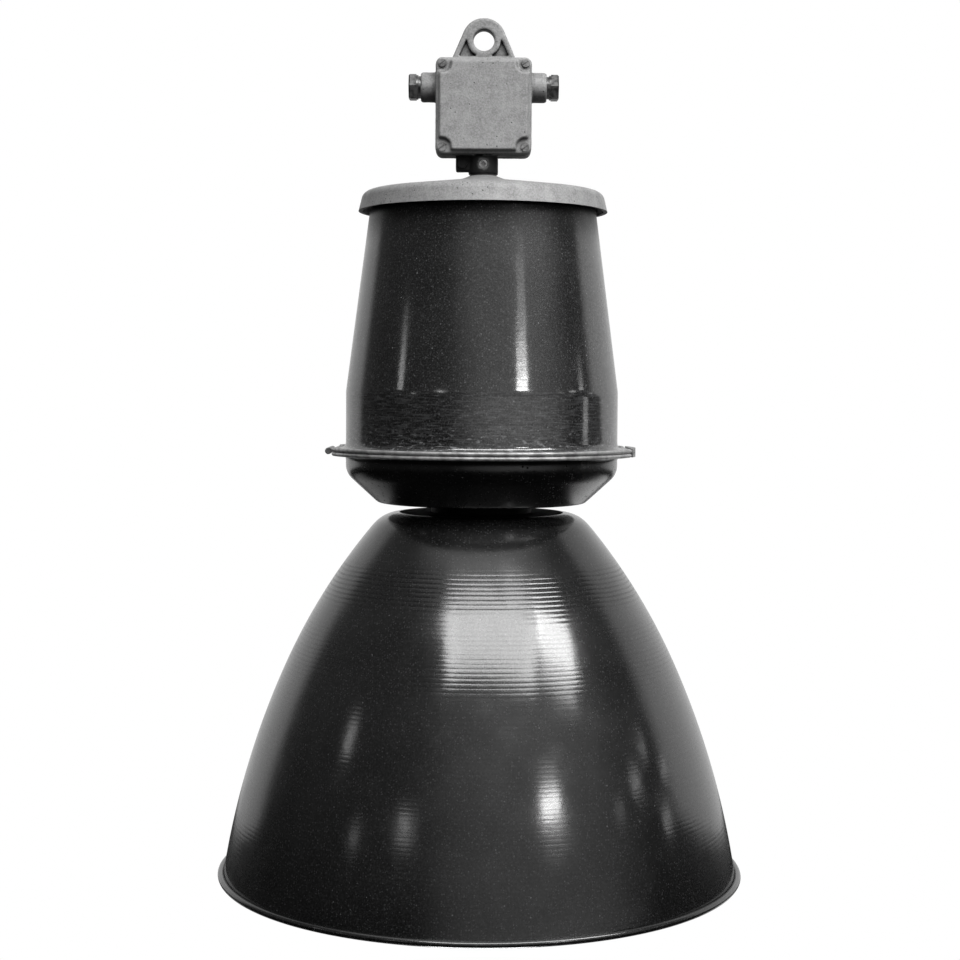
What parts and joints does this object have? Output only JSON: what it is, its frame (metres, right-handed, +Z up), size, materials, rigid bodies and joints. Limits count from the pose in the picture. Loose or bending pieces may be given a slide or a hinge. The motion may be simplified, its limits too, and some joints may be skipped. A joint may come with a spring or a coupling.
{
  "type": "industrial pendant lamp",
  "caption": "Industrial pendant lamp: cast junction box with hanging eye and cable glands, enamelled gear housing, and a hinged lower section with bell shade and screw lamp.",
  "frame": {"origin": "centre of the hanging eye's bore, midway through the lug", "axes": "+Z up along the lamp's axis, +X to the right gland, -Y out of the junction box cover"},
  "size_m": [0.48, 0.48, 0.7785],
  "materials": {
    "cast_aluminium": "sand cast, matt and weathered",
    "black_enamel": "glossy black vitreous enamel with fine pale specks",
    "zinc_steel": "zinc plated steel",
    "worn_steel": "bare worn steel",
    "tarnished_brass": "dark tarnished brass",
    "brass": "plain brass",
    "black_rubber": "matt black rubber",
    "porcelain": "white glazed porcelain",
    "bakelite": "dark moulded phenolic",
    "lamination_steel": "varnished laminations",
    "coil_winding": "varnished winding under tape",
    "aluminium_can": "drawn aluminium can",
    "opal_glass": "opal coated glass"
  },
  "bodies": {
    "head": {"junction_box": "cast_aluminium", "junction_box_cover": "cast_aluminium", "cover_gasket": "black_rubber", "cover_screws": "zinc_steel", "terminal_block": "porcelain", "terminal_screws": "brass", "terminal_fixings": "zinc_steel", "earth_screw": "brass", "gland_seal_left": "black_rubber", "gland_seal_right": "black_rubber", "neck_clamp_bolt": "zinc_steel", "neck_clamp_nut": "zinc_steel", "neck_set_screw": "zinc_steel", "stem_tube": "zinc_steel", "stem_seal": "black_rubber", "stem_washer": "zinc_steel", "stem_nut": "zinc_steel", "housing_lid": "cast_aluminium", "lid_bolts": "zinc_steel", "gear_housing": "black_enamel", "flange_gasket": "black_rubber", "gear_tray": "zinc_steel", "ballast_core": "lamination_steel", "ballast_coil": "coil_winding", "gear_screws": "zinc_steel", "capacitor": "aluminium_can", "capacitor_clamp": "zinc_steel", "gear_terminal_block": "bakelite", "hinge_upper_leaf": "worn_steel", "hinge_pin": "zinc_steel", "upper_rivets": "zinc_steel", "closing_bar_upper": "worn_steel"},
    "lower_section": {"lower_pan": "black_enamel", "hinge_lower_leaf": "worn_steel", "lower_rivets": "zinc_steel", "closing_bar_lower": "worn_steel", "closing_screw": "zinc_steel", "neck_collar": "black_enamel", "collar_bolts": "zinc_steel", "collar_nuts": "zinc_steel", "shade": "black_enamel", "lampholder_bracket": "zinc_steel", "lampholder_screws": "zinc_steel", "lampholder_body": "porcelain", "lampholder_shell": "brass"},
    "contact": {"centre_contact": "brass"},
    "bulb": {"bulb_cap": "brass", "bulb_insulator": "bakelite", "bulb_contact": "brass", "bulb_glass": "opal_glass"},
    "gland_slider_left": {"gland_washer_left": "tarnished_brass"},
    "gland_left": {"gland_screw_left": "tarnished_brass"},
    "gland_slider_right": {"gland_washer_right": "tarnished_brass"},
    "gland_right": {"gland_screw_right": "tarnished_brass"}
  },
  "joints": [
    {"name": "lower_section_hinge", "type": "hinge", "parent": "head", "child": "lower_section", "pos_m": [-0.1385, 0, -0.371], "axis": [0, 1, 0], "range_deg": [0, 70]},
    {"name": "contact_travel", "type": "slide", "parent": "lower_section", "child": "contact", "axis": [0, 0, -1], "range_m": [0, 0.0031]},
    {"name": "bulb_turn", "type": "hinge", "parent": "contact", "child": "bulb", "pos_m": [0, 0, -0.43], "axis": [0, 0, -1], "range_deg": [0, 170]},
    {"name": "gland_travel_left", "type": "slide", "parent": "head", "child": "gland_slider_left", "axis": [-1, 0, 0], "range_m": [0, 0.0031]},
    {"name": "gland_turn_left", "type": "hinge", "parent": "gland_slider_left", "child": "gland_left", "pos_m": [-0.06, 0.004, -0.041], "axis": [-1, 0, 0], "range_deg": [0, 720]},
    {"name": "gland_travel_right", "type": "slide", "parent": "head", "child": "gland_slider_right", "axis": [1, 0, 0], "range_m": [0, 0.0031]},
    {"name": "gland_turn_right", "type": "hinge", "parent": "gland_slider_right", "child": "gland_right", "pos_m": [0.06, 0.004, -0.041], "axis": [1, 0, 0], "range_deg": [0, 720]}
  ],
  "couplings": [
    {"joint": "contact_travel", "follows": "bulb_turn", "m_per_rad": 0.0010106},
    {"joint": "gland_travel_left", "follows": "gland_turn_left", "m_per_rad": 0.0002387},
    {"joint": "gland_travel_right", "follows": "gland_turn_right", "m_per_rad": 0.0002387}
  ]
}
